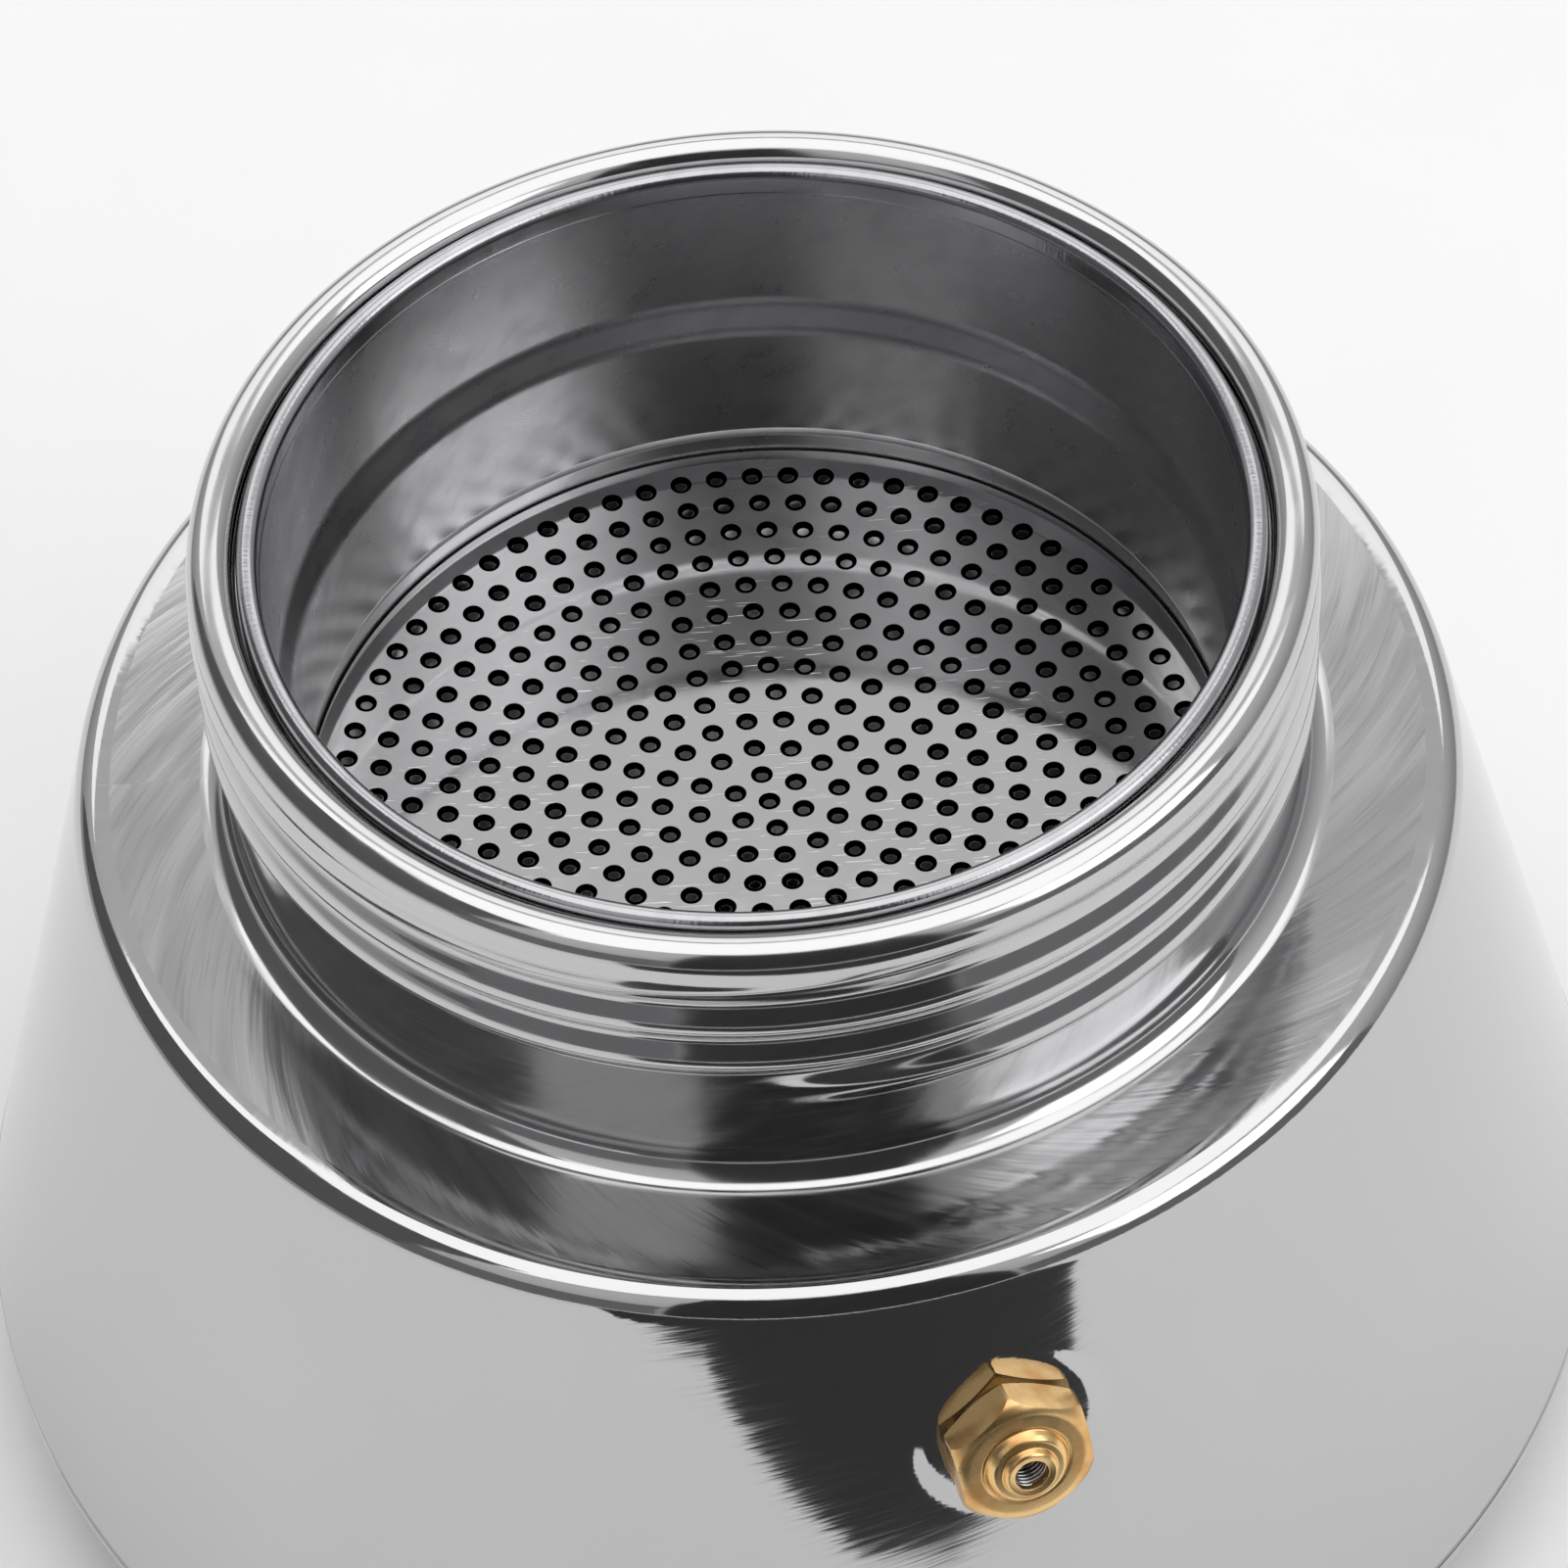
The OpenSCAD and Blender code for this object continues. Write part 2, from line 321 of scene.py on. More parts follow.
def finish_with(tree, shader, colour=None, roughness=None, bumps=()):
    if colour is not None:
        tree.links.new(colour, shader.inputs["Base Color"])
    if roughness is not None:
        tree.links.new(roughness, shader.inputs["Roughness"])
    if bumps:
        tree.links.new(bumped(tree, bumps), shader.inputs["Normal"])


# ---------------------------------------------------------------- materials
def polished_steel():
    """The wall: a near mirror, polished in fine strokes that climb a little as they go round."""
    material, tree, shader = metal("polished_steel", (0.55, 0.55, 0.555), 0.06)
    fine = noise(tree, ring_place(tree, 9, 0, 3200, -42), 1.0, 2.0)
    broad = noise(tree, ring_place(tree, 4, 0, 420, -5), 1.0, 2.0)
    cloud = noise(tree, plain_place(tree, (18, 18, 10)), 1.0, 3.0)
    rough = calc(tree, "ADD", remap(tree, cloud, 0.3, 0.7, 0.03, 0.07),
                 remap(tree, fine, 0.4, 0.7, 0.0, 0.04))
    finish_with(tree, shader, None, rough, [(fine, 0.0000028), (broad, 0.000010)])
    return material


def turned_steel():
    """The shoulder's flat ring: polished in strokes that lean outwards as they go round."""
    material, tree, shader = metal("turned_steel", (0.48, 0.48, 0.485), 0.12)
    fine = noise(tree, ring_place(tree, 7, 2600, 0, -73), 1.0, 2.0)
    broad = noise(tree, ring_place(tree, 3, 480, 0, -13), 1.0, 2.0)
    rough = remap(tree, broad, 0.3, 0.7, 0.09, 0.17)
    dark = blend_colour(tree, remap(tree, fine, 0.5, 0.75), (0.49, 0.49, 0.495), (0.42, 0.42, 0.425))
    finish_with(tree, shader, dark, rough, [(fine, 0.0000045), (broad, 0.00003)])
    return material


def neck_steel():
    """The neck and its thread: bright, with fine lines round it and a few dull smudges."""
    material, tree, shader = metal("neck_steel", (0.58, 0.58, 0.585), 0.12)
    lines = noise(tree, ring_place(tree, 6, 1800, 1800, -8), 1.0, 2.0)
    patches = noise(tree, plain_place(tree, (90, 90, 150)), 1.0, 3.0)
    rough = calc(tree, "ADD", remap(tree, patches, 0.3, 0.7, 0.08, 0.14),
                 remap(tree, lines, 0.45, 0.7, 0.0, 0.05))
    finish_with(tree, shader, None, rough, [(lines, 0.0000025), (patches, 0.000025)])
    return material


def inner_steel():
    """Inside the boiler: dull drawn steel with a bloom from boiling water."""
    material, tree, shader = metal("inner_steel", (0.50, 0.50, 0.505), 0.38)
    bloom = noise(tree, plain_place(tree, (30, 30, 45)), 1.0, 5.0, 0.6)
    lines = noise(tree, ring_place(tree, 5, 700, 1400), 1.0, 2.0)
    tint = blend_colour(tree, remap(tree, bloom, 0.4, 0.7), (0.50, 0.50, 0.505), (0.42, 0.40, 0.37))
    rough = remap(tree, bloom, 0.3, 0.7, 0.30, 0.48)
    finish_with(tree, shader, tint, rough, [(lines, 0.000008)])
    return material


def basket_steel():
    """The basket: satin drawn steel with a fine grain, rippled where its lip was curled over."""
    material, tree, shader = metal("basket_steel", (0.45, 0.45, 0.46), 0.27)
    grain = noise(tree, plain_place(tree, (4300, 4300, 4300)), 1.0, 1.0)
    scuffs = noise(tree, ring_place(tree, 12, 300, 420, 7), 1.0, 3.0)
    ripples = noise(tree, ring_place(tree, 105, 420, 420, 34), 1.0, 1.0)
    near_lip = remap(tree, polar(tree)[3], (LIP_TOP - 3.2) * MM, (LIP_TOP - 1.4) * MM)
    rough = calc(tree, "SUBTRACT", remap(tree, scuffs, 0.3, 0.7, 0.27, 0.32),
                 calc(tree, "MULTIPLY", near_lip, 0.12))
    tint = blend_colour(tree, remap(tree, scuffs, 0.45, 0.75), (0.46, 0.46, 0.47), (0.41, 0.41, 0.42))
    finish_with(tree, shader, tint, rough, [(grain, 0.0000035), (scuffs, 0.000004),
                                            (calc(tree, "MULTIPLY", ripples, near_lip), 0.000014)])
    return material


def plate_steel():
    """The perforated plate: rolled sheet, nearly a mirror, with scratches from use."""
    material, tree, shader = metal("plate_steel", (0.66, 0.66, 0.665), 0.10)
    cloud = noise(tree, plain_place(tree, (260, 260, 260)), 1.0, 3.0)
    marks = calc(tree, "ADD", scratches(tree, 0.005, 0.00016, (0, 0, 25), 0.6),
                 scratches(tree, 0.004, 0.00014, (0, 0, -40), 0.5))
    rough = calc(tree, "ADD", remap(tree, cloud, 0.3, 0.7, 0.04, 0.08), calc(tree, "MULTIPLY", marks, 0.2))
    finish_with(tree, shader, None, rough, [(cloud, 0.000002), (marks, 0.000006)])
    return material


def cap_steel():
    """The base's cap: satin on its side, turned in rings underneath."""
    material, tree, shader = metal("cap_steel", (0.58, 0.58, 0.585), 0.22, 0.5)
    lines = noise(tree, ring_place(tree, 3, 1300, 1300), 1.0, 3.0)
    scuffs = noise(tree, plain_place(tree, (70, 70, 70)), 1.0, 5.0)
    rough = remap(tree, scuffs, 0.3, 0.7, 0.16, 0.34)
    finish_with(tree, shader, None, rough, [(lines, 0.000006)])
    return material


def cast_aluminium():
    material, tree, shader = metal("cast_aluminium", (0.72, 0.73, 0.74), 0.45)
    pits = noise(tree, plain_place(tree, (900, 900, 900)), 1.0, 4.0)
    finish_with(tree, shader, None, remap(tree, pits, 0.3, 0.7, 0.38, 0.55), [(pits, 0.00003)])
    return material


def brass():
    """Turned brass: lines from the tool, a little browner in the tarnished patches."""
    material, tree, shader = metal("brass", (0.90, 0.60, 0.27), 0.3)
    lines = noise(tree, ring_place(tree, 3, 5200, 5200), 1.0, 2.0)
    patches = noise(tree, plain_place(tree, (300, 300, 300)), 1.0, 4.0)
    tint = blend_colour(tree, remap(tree, patches, 0.42, 0.72), (0.92, 0.62, 0.28), (0.74, 0.38, 0.13))
    rough = remap(tree, patches, 0.3, 0.75, 0.24, 0.36)
    finish_with(tree, shader, tint, rough, [(lines, 0.0000025), (patches, 0.000005)])
    return material


def spring_wire():
    """Hard drawn wire and the ball: bright steel with faint lines along it."""
    material, tree, shader = metal("spring_wire", (0.60, 0.60, 0.62), 0.16)
    drawn = noise(tree, ring_place(tree, 6, 9000, 9000), 1.0, 2.0)
    finish_with(tree, shader, None, remap(tree, drawn, 0.3, 0.7, 0.12, 0.26), [(drawn, 0.000001)])
    return material


def pale_silicone():
    material, tree, shader = metal("pale_silicone", (0.78, 0.77, 0.74), 0.55)
    shader.inputs["Metallic"].default_value = 0.0
    dust = noise(tree, plain_place(tree, (1500, 1500, 1500)), 1.0, 4.0)
    tint = blend_colour(tree, remap(tree, dust, 0.4, 0.7), (0.80, 0.79, 0.76), (0.66, 0.64, 0.60))
    finish_with(tree, shader, tint, remap(tree, dust, 0.3, 0.7, 0.45, 0.65), [(dust, 0.00001)])
    return material


# ---------------------------------------------------------------- boiler
SHELL_COLUMNS = 720
THREAD_PITCH = 4.0
THREAD_DEPTH = 0.95
THREAD_START = -98.0
THREAD_LOW = RIM_Z - 14.85
THREAD_TURNS = 3.1


def fade(value, low, high):
    t = np.clip((value - low) / (high - low), 0, 1)
    return t * t * (3 - 2 * t)


def ridge(angles, height):
    """How far the rolled thread stands out at a height, for each angle in degrees.
    It is one right-handed helix that fades in at its start and out at its end."""
    turn = ((angles - THREAD_START) % 360) / 360
    total = np.zeros_like(angles)
    for k in range(int(THREAD_TURNS) + 1):
        along = turn + k
        strength = fade(along, 0, 0.09) * (1 - fade(along, THREAD_TURNS - 0.15, THREAD_TURNS))
        away = (height - THREAD_LOW - THREAD_PITCH * along) / (THREAD_PITCH / 2)
        bump = np.where(np.abs(away) < 1, 0.5 + 0.5 * np.cos(math.pi * away), 0)
        total += strength * bump ** 0.8
    return THREAD_DEPTH * total


def neck_face(inset):
    """(heights, radii) up the neck's stretch with the thread, one row per height."""
    heights = np.linspace(SHOULDER_Z + 2.6, RIM_Z - 1.0, 92)
    angles = np.arange(SHELL_COLUMNS) * 360 / SHELL_COLUMNS
    rows = []
    for z in heights:
        bead = 0.75 * fade(z, RIM_Z - 3.3, RIM_Z - 1.3)
        room = 1 - fade(z, RIM_Z - 2.6, RIM_Z - 1.2)
        rows.append(NECK_R - inset + np.maximum(bead, 0) + ridge(angles, z) * room)
    return heights, np.array(rows)


def shell_bands():
    """The shell's outline as bands: (outline or threaded rows, material)."""
    round_r = (wall_r(SHOULDER_Z) - 50.9) / (math.cos(WALL_LEAN)
                                             - WALL_SLOPE * (1 - math.sin(WALL_LEAN)))
    lean = math.degrees(WALL_LEAN)
    edge = arc(50.9, SHOULDER_Z - round_r, round_r, lean, 90, 14)
    edge_in = arc(50.9, SHOULDER_Z - round_r, round_r - SHEET, 90, lean, 10)
    fillet = arc(NECK_R + 2.4, SHOULDER_Z + 2.4, 2.4, 270, 180, 12)
    fillet_in = arc(NECK_R + 2.4, SHOULDER_Z + 2.4, 2.4 + SHEET, 180, 270, 8)
    crown = arc(39.9, RIM_Z - 0.8, 1.7, 0, 150, 20)
    seat = softened([(38.15, RIM_Z - 0.3, 0.1), (38.15, RIM_Z - 1.25, 0.15),
                     (37.15, RIM_Z - 1.25, 0.3), (37.15, RIM_Z - 2.4, 0.6),
                     (NECK_R - SHEET, RIM_Z - 3.6, 0.8)], 3)[3:-3]
    inner_foot = (wall_r(SEAM_Z) - SHEET / math.cos(WALL_LEAN), SEAM_Z)
    return [
        (line((SEAM_R, SEAM_Z), edge[0], 110)[:-1], "wall"),
        (edge, "edge"),
        (line(edge[-1], fillet[0], 10)[1:-1], "shoulder"),
        (fillet, "neck"),
        ("outer", "neck"),
        (crown, "neck"),
        (seat, "neck"),
        ("inner", "inside"),
        (fillet_in, "inside"),
        (edge_in, "inside"),
        (line(edge_in[-1], inner_foot, 30)[1:], "inside"),
    ]


def shell_rows():
    """(radii, heights, material of each row) of the whole shell."""
    radii, heights, kinds = [], [], []
    for band, kind in shell_bands():
        if isinstance(band, str):
            z, r = neck_face(0 if band == "outer" else SHEET)
            pairs = list(zip(r, z))
            if band == "inner":
                pairs = [(row, h) for row, h in reversed(pairs) if h < RIM_Z - 4]
                pairs = pairs[::2]
        else:
            pairs = [(np.full(SHELL_COLUMNS, r), h) for r, h in band]
        for row, height in pairs:
            radii.append(row)
            heights.append(height)
            kinds.append(kind)
    return np.array(radii), np.array(heights)[:, None], kinds


def valve_hole():
    """The hole that the valve's shank goes through, as a cutter."""
    hole = lathe("valve_hole", [(0, -4), (4.2, -4), (4.2, 4), (0, 4)], 64)
    hole.matrix_world = valve_frame()
    return hole


def press_boss(shell):
    """Presses a flat seat for the valve into the wall, and runs it off into the cone."""
    places = np.empty(3 * len(shell.data.vertices))
    shell.data.vertices.foreach_get("co", places)
    world = np.column_stack([places.reshape(-1, 3), np.ones(len(places) // 3)])
    to_wall = np.array(valve_frame().inverted())
    local = world @ to_wall.T
    away = np.hypot(local[:, 0] + BOSS_UP * MM, local[:, 1]) / MM
    height = local[:, 2] / MM
    share = np.where(np.abs(height) < 0.6, 1 - fade(away, BOSS_R - BOSS_RUN, BOSS_R), 0)
    local[:, 2] += (BOSS_H - height) * share * MM
    world = local @ np.array(valve_frame()).T
    shell.data.vertices.foreach_set("co", world[:, :3].ravel())


def make_shell(looks):
    radii, heights, kinds = shell_rows()
    shell = turned("steel_shell", radii, heights, None)
    order = ["wall", "edge", "shoulder", "neck", "inside"]
    materials = [looks["polished"], looks["polished"], looks["turned"], looks["neck"], looks["inner"]]
    paint_rows(shell, SHELL_COLUMNS, materials, [order.index(k) for k in kinds])
    press_boss(shell)
    cut_by(shell, valve_hole())
    shell.data.set_sharp_from_angle(angle=math.radians(50))
    return shell


def make_floor_pan(looks):
    """The pan turned up into the wall, with the weld's low bead round the seam."""
    base = bottom("boiler_floor")
    centre = SEAM_R - 4 * math.cos(WALL_LEAN)
    lean = math.degrees(WALL_LEAN)
    outer = arc(centre, base + 4, 4, -90, lean - 6, 14)
    inner = arc(centre, base + 4, 4 - SHEET, lean, -90, 12)
    weld = arc(SEAM_R - 0.09, SEAM_Z - 0.12, 0.16, -70, 60, 6)
    outline = [(0, base)] + line((20, base), outer[0], 6) + outer[1:] + weld + inner
    outline += [(20, base + SHEET), (0, base + SHEET)]
    pan = lathe("steel_floor_pan", outline, 512)
    pan.data.materials.append(looks["polished"])
    pan.data.materials.append(looks["inner"])
    for face in pan.data.polygons:
        if face.center.z / MM > base + 0.4 and math.hypot(*face.center[:2]) / MM < SEAM_R - 0.7:
            if face.normal.z > 0.05 or face.normal.xy.dot(face.center.xy) < 0:
                face.material_index = 1
    return pan


def make_base_cap(looks):
    """The pressed cap, with a stepped dish and three rings pressed into its underside."""
    r = reach("base_cap")
    high = top("base_cap")
    rings = []
    for centre in (14, 30, 46):
        rings += arc(centre, -0.9, 1.2, 132, 48, 6)
    under = [(0, 0.35), (7, 0.35)] + arc(7, 0.05, 0.3, 90, 30, 3) + [(9, 0)]
    under += [(p[0], max(p[1], 0)) for p in rings]
    outline = under + arc(r - 1.5, 1.5, 1.5, -90, 0, 10) + arc(r - 0.2, high - 0.2, 0.2, 0, 90, 4)
    outline += [(r - 0.6, high)] + arc(r - 1.5, 1.5, 0.9, 0, -90, 8) + [(0, 0.6)]
    cap = lathe("steel_base_cap", outline, 512, 40)
    cap.data.materials.append(looks["cap"])
    return cap


# ---------------------------------------------------------------- funnel
LIP_TOP = top("funnel_cup")
CUP_LOW = bottom("funnel_cup")
PLATE_R = reach("filter_plate")
SEAT_Z = bottom("filter_plate")


def make_cup(looks):
    """The basket: curled lip, two-stage wall, groove and seat for the plate, cone, collar."""
    lip_z = LIP_TOP - 0.8
    wall = softened([
        (36.3, lip_z, 0), (36.3, RIM_Z - 13.5, 3.0), (35.2, RIM_Z - 15.9, 3.0),
        (35.2, SEAT_Z + 3.7, 0.9), (35.9, SEAT_Z + 2.2, 0.7), (35.9, SEAT_Z + 0.05, 0.25),
        (35.0, SEAT_Z + 0.05, 0.3), (34.7, SEAT_Z - 1.6, 0.8), (5.6, SEAT_Z - 13.4, 2.4),
        (4.98, SEAT_Z - 15.5, 0.6), (4.98, CUP_LOW, 0)], 6)
    back = softened([
        (5.5, CUP_LOW, 0), (5.5, SEAT_Z - 15.0, 0.8), (6.0, SEAT_Z - 13.7, 2.0),
        (34.5, SEAT_Z - 2.1, 0.8), (35.5, SEAT_Z - 0.5, 0.4), (36.4, SEAT_Z - 0.5, 0.5),
        (36.4, SEAT_Z + 2.3, 0.7), (35.7, SEAT_Z + 3.8, 0.9),
        (35.7, RIM_Z - 15.8, 3.0), (36.8, RIM_Z - 13.4, 3.0),
        (36.8, lip_z - 0.4, 0.3)], 6)
    lip = arc(37.1, lip_z, 0.8, -100, 180, 26)
    cup = lathe("basket_cup", back + lip + wall[1:], 512, 60)
    cup.data.materials.append(looks["basket"])
    return cup


def make_tube(looks):
    low, high = bottom("funnel_tube"), top("funnel_tube")
    outline = softened([(4.5, low, 0.12), (5, low, 0.2), (5, high, 0.12), (4.5, high, 0.12)], 3)
    tube = lathe("basket_tube", outline, 128)
    tube.data.materials.append(looks["basket"])
    return tube


HOLE_R = 0.46
HOLE_PITCH = 2.755
HOLE_RINGS = 12
HOLE_START = 39.4
HOLE_SIDES = 20
DISH_DEPTH = 1.5
PLATE_T = 0.5


def hole_centres():
    centres = [(0.0, 0.0)]
    for k in range(1, HOLE_RINGS + 1):
        for i in range(6 * k):
            t = math.radians(HOLE_START + 60 * i / k)
            centres.append((HOLE_PITCH * k * math.cos(t), HOLE_PITCH * k * math.sin(t)))
    return np.array(centres)


def dish(radius):
    """Height of the dished plate's upper face at a radius, and its slope there."""
    edge = SEAT_Z + PLATE_T + 0.12
    share = (radius / PLATE_R) ** 2
    return edge - DISH_DEPTH * (1 - share), 2 * DISH_DEPTH * radius / PLATE_R ** 2


def make_plate(looks):
    """The dished plate: a flat face between the holes, a rolled edge into each hole, a plain
    underside. The normals are set from the formula, so that the sheet shades evenly."""
    centres = hole_centres()
    count = len(centres)
    turn = 2 * math.pi * np.arange(HOLE_SIDES) / HOLE_SIDES
    circle = np.stack([np.cos(turn), np.sin(turn)], axis=-1)
    # radius of each ring about a hole, its drop below the sheet, and the lean of its normal
    rings = [(0.86, 0.0, 0.0), (0.74, 0.006, 0.1), (0.63, 0.025, 0.3), (0.55, 0.06, 0.65),
             (0.49, 0.12, 1.1), (HOLE_R, 0.2, 1.45)]
    edge_sides = 360
    edge_turn = 2 * math.pi * np.arange(edge_sides) / edge_sides
    border_r = PLATE_R - 1.5

    flat = [(centres[:, None, :] + circle[None] * rings[0][0]).reshape(-1, 2),
            border_r * np.stack([np.cos(edge_turn), np.sin(edge_turn)], axis=-1)]
    flat = np.concatenate(flat)
    first_border = count * HOLE_SIDES
    edges = []
    for h in range(count):
        for j in range(HOLE_SIDES):
            edges.append((h * HOLE_SIDES + j, h * HOLE_SIDES + (j + 1) % HOLE_SIDES))
    for j in range(edge_sides):
        edges.append((first_border + j, first_border + (j + 1) % edge_sides))
    found = delaunay_2d_cdt([Vector(p) for p in flat], edges, [], 0, 1e-6, True)
    spots = np.array([tuple(v) for v in found[0]])
    triangles = np.array(found[2])
    place = {given: made for made, origins in enumerate(found[3]) for given in origins}
    owner = np.array([min(origins) // HOLE_SIDES for origins in found[3]])[triangles]
    inside = (owner[:, 0] == owner[:, 1]) & (owner[:, 1] == owner[:, 2]) & (owner[:, 0] < count)
    triangles = triangles[~inside]

    points, normals, faces = [], [], []

    def put(x, y, drop, lean, away_x, away_y, side):
        """One vertex of the upper (side 1) or lower (side -1) face."""
        radius = math.hypot(x, y)
        z, slope = dish(radius)
        tilt = Vector((-slope * x / max(radius, 1e-9), -slope * y / max(radius, 1e-9), 1)).normalized()
        normal = tilt * math.cos(lean) - Vector((away_x, away_y, 0)) * math.sin(lean)
        z = z - drop if side > 0 else z - PLATE_T + drop
        points.append((x * MM, y * MM, z * MM))
        normals.append(tuple(normal if side > 0 else Vector((normal.x, normal.y, -normal.z))))
        return len(points) - 1

    for side, levels in ((1, rings), (-1, [(0.86, 0.0, 0.0), (0.6, 0.0, 0.2), (0.55, 0.04, 1.0)])):
        start = len(points)
        for x, y in spots:
            put(x, y, 0, 0, 0, 0, side)
        for a, b, c in triangles:
            corners = (start + int(a), start + int(b), start + int(c))
            faces.append(corners if side > 0 else corners[::-1])
        last = []
        for hole, (cx, cy) in enumerate(centres):
            ring = [start + place[hole * HOLE_SIDES + j] for j in range(HOLE_SIDES)]
            for radius, drop, lean in levels[1:]:
                inner = [put(cx + c * radius, cy + s * radius, drop, lean, c, s, side) for c, s in circle]
                for j in range(HOLE_SIDES):
                    n = (j + 1) % HOLE_SIDES
                    quad = (ring[j], ring[n], inner[n], inner[j])
                    faces.append(quad[::-1] if side > 0 else quad)
                ring = inner
            last.append(ring)
        if side > 0:
            upper_last = last
            upper_border = [start + place[first_border + j] for j in range(edge_sides)]
        else:
            lower_border = [start + place[first_border + j] for j in range(edge_sides)]
            for above, below in zip(upper_last, last):
                for j in range(HOLE_SIDES):
                    n = (j + 1) % HOLE_SIDES
                    faces.append((above[n], above[j], below[j], below[n]))

    # the border: out over the rounded edge and back underneath
    profile = [(PLATE_R - 0.75, 0.0, 0.0), (PLATE_R - 0.2, 0.0, 0.0), (PLATE_R - 0.07, 0.05, 0.6),
               (PLATE_R, 0.18, 1.4)]
    ring = upper_border
    chain = [(p, 1) for p in profile] + [(p, -1) for p in reversed(profile)]
    for (radius, drop, lean), side in chain:
        outer = [put(radius * math.cos(t), radius * math.sin(t), drop, lean,
                     -math.cos(t), -math.sin(t), side) for t in edge_turn]
        for j in range(edge_sides):
            n = (j + 1) % edge_sides
            faces.append((ring[j], outer[j], outer[n], ring[n]))
        ring = outer
    for j in range(edge_sides):
        n = (j + 1) % edge_sides
        faces.append((ring[j], lower_border[j], lower_border[n], ring[n]))

    plate = new_object("basket_plate", points, faces)
    plate.data.normals_split_custom_set_from_vertices(normals)
    plate.data.materials.append(looks["plate"])
    return plate


# ---------------------------------------------------------------- safety valve
HEX_FLATS = 10.0
HEX_TURN = 4.9
HEX_COLUMNS = 240
CORNER_R = 5.7735
CORNER_ROUND = 1.5
CORNER_CHAMFER = 0.5
BOSS_H = 0.05
BOSS_R = 7.6
BOSS_UP = 0.6
BOSS_RUN = 1.5
WASHER_OUT = 0.2
FRONT = 3.45
NIPPLE_END = 4.75
BORE_END = 4.25
CHAMBER_LOW = -5.0
SHANK_LOW = -8.0
SHANK_R = 4.0
OUTER_WASHER_R = 4.75
INNER_WASHER_R = 6.5
INNER_WASHER_LOW = -1.9
NUT_CORNER_R = 7
NUT_LOW = -4.9
NUT_FACE_R = 5.6
BALL_R = 1.7


def hexagon_radii(turn):
    """Distance of the hexagon's outline from its axis, at each column."""
    angles = np.arange(HEX_COLUMNS) * 360 / HEX_COLUMNS - turn
    within = np.radians((angles % 60) - 30)
    return HEX_FLATS / 2 / np.cos(within)


def hexagon_rows(low, high, outline):
    """Rows up a hexagon: its corners are coned off at the low end and domed at the high end."""
    inner = CORNER_R - 2 * CORNER_CHAMFER
    rows = []
    for share in np.linspace(0, 1, 5):
        r = inner + (outline - inner) * share
        rows.append((r, low + 0.5 * (r - inner)))
    inner = CORNER_R - CORNER_ROUND
    for share in np.linspace(1, 0, 13):
        r = inner + (outline - inner) * share
        drop = CORNER_ROUND - np.sqrt(np.maximum(CORNER_ROUND ** 2 - (r - inner) ** 2, 0))
        rows.append((r, high - drop))
    return rows


def round_rows(outline):
    return [(np.full(HEX_COLUMNS, r), np.full(HEX_COLUMNS, h)) for r, h in outline]


def valve_piece(name, rows, material, sharp=28):
    radii = np.array([r for r, h in rows])
    heights = np.array([h for r, h in rows])
    piece = turned(name, radii, heights, sharp)
    piece.matrix_world = valve_frame()
    piece.data.materials.append(material)
    return piece


def shank_thread(low, high, radius, pitch=1.0, depth=0.45):
    """Rows up a screw thread on a rod, as a helix that fades out at both ends."""
    angles = np.arange(HEX_COLUMNS) / HEX_COLUMNS
    rows = []
    for h in np.arange(low, high + 1e-6, pitch / 10):
        phase = (h / pitch - angles) % 1
        groove = np.clip(1.25 - np.abs(phase - 0.5) * 3.2, 0, 1)
        ends = fade(h, low, low + 0.6) * (1 - fade(h, high - 0.6, high))
        rows.append((radius - depth * groove * ends, np.full(HEX_COLUMNS, h)))
    return rows


def make_valve_body(looks):
    """One turned piece: threaded shank, hexagon with a domed face, collar, nipple with the
    outlet, and the bore that holds the spring and the ball."""
    rows = round_rows([(2.7, SHANK_LOW), (3.5, SHANK_LOW), (3.8, SHANK_LOW + 0.2)])
    rows += shank_thread(SHANK_LOW + 0.3, WASHER_OUT - 0.3, SHANK_R)
    rows += round_rows([(SHANK_R, WASHER_OUT)])
    rows += hexagon_rows(WASHER_OUT, FRONT, hexagon_radii(HEX_TURN))[:-1]
    face = softened([(4.27, FRONT, 0.0), (3.45, FRONT + 0.02, 0.3), (3.2, FRONT - 0.12, 0.15),
                     (3.0, FRONT + 0.3, 0.3), (2.7, FRONT + 0.7, 0.4), (2.1, FRONT + 0.7, 0.12),
                     (1.98, NIPPLE_END - 0.15, 0.2), (1.8, NIPPLE_END, 0.12), (1.3, NIPPLE_END - 0.08, 0.08),
                     (1.25, BORE_END + 0.02, 0.0),
                     (1.6, BORE_END, 0.0), (1.6, 3.0, 0.0), (2.0, 2.9, 0.0),
                     (2.0, CHAMBER_LOW + 0.02, 0.0), (2.7, CHAMBER_LOW, 0.0)], 5)
    rows += round_rows(face)
    return valve_piece("brass_body", rows, looks["brass"])


def make_valve_seat(looks):
    """The plug pressed into the shank's inner end, with the ball's conical seat and the inlet."""
    rows = round_rows([(1.0, SHANK_LOW), (2.4, SHANK_LOW), (2.68, SHANK_LOW + 0.25),
                       (2.68, CHAMBER_LOW - 0.1), (2.6, CHAMBER_LOW - 0.02), (2.05, CHAMBER_LOW - 0.02),
                       (1.95, CHAMBER_LOW - 0.08), (1.0, CHAMBER_LOW - 1.2)])
    return valve_piece("brass_seat", rows, looks["brass"])


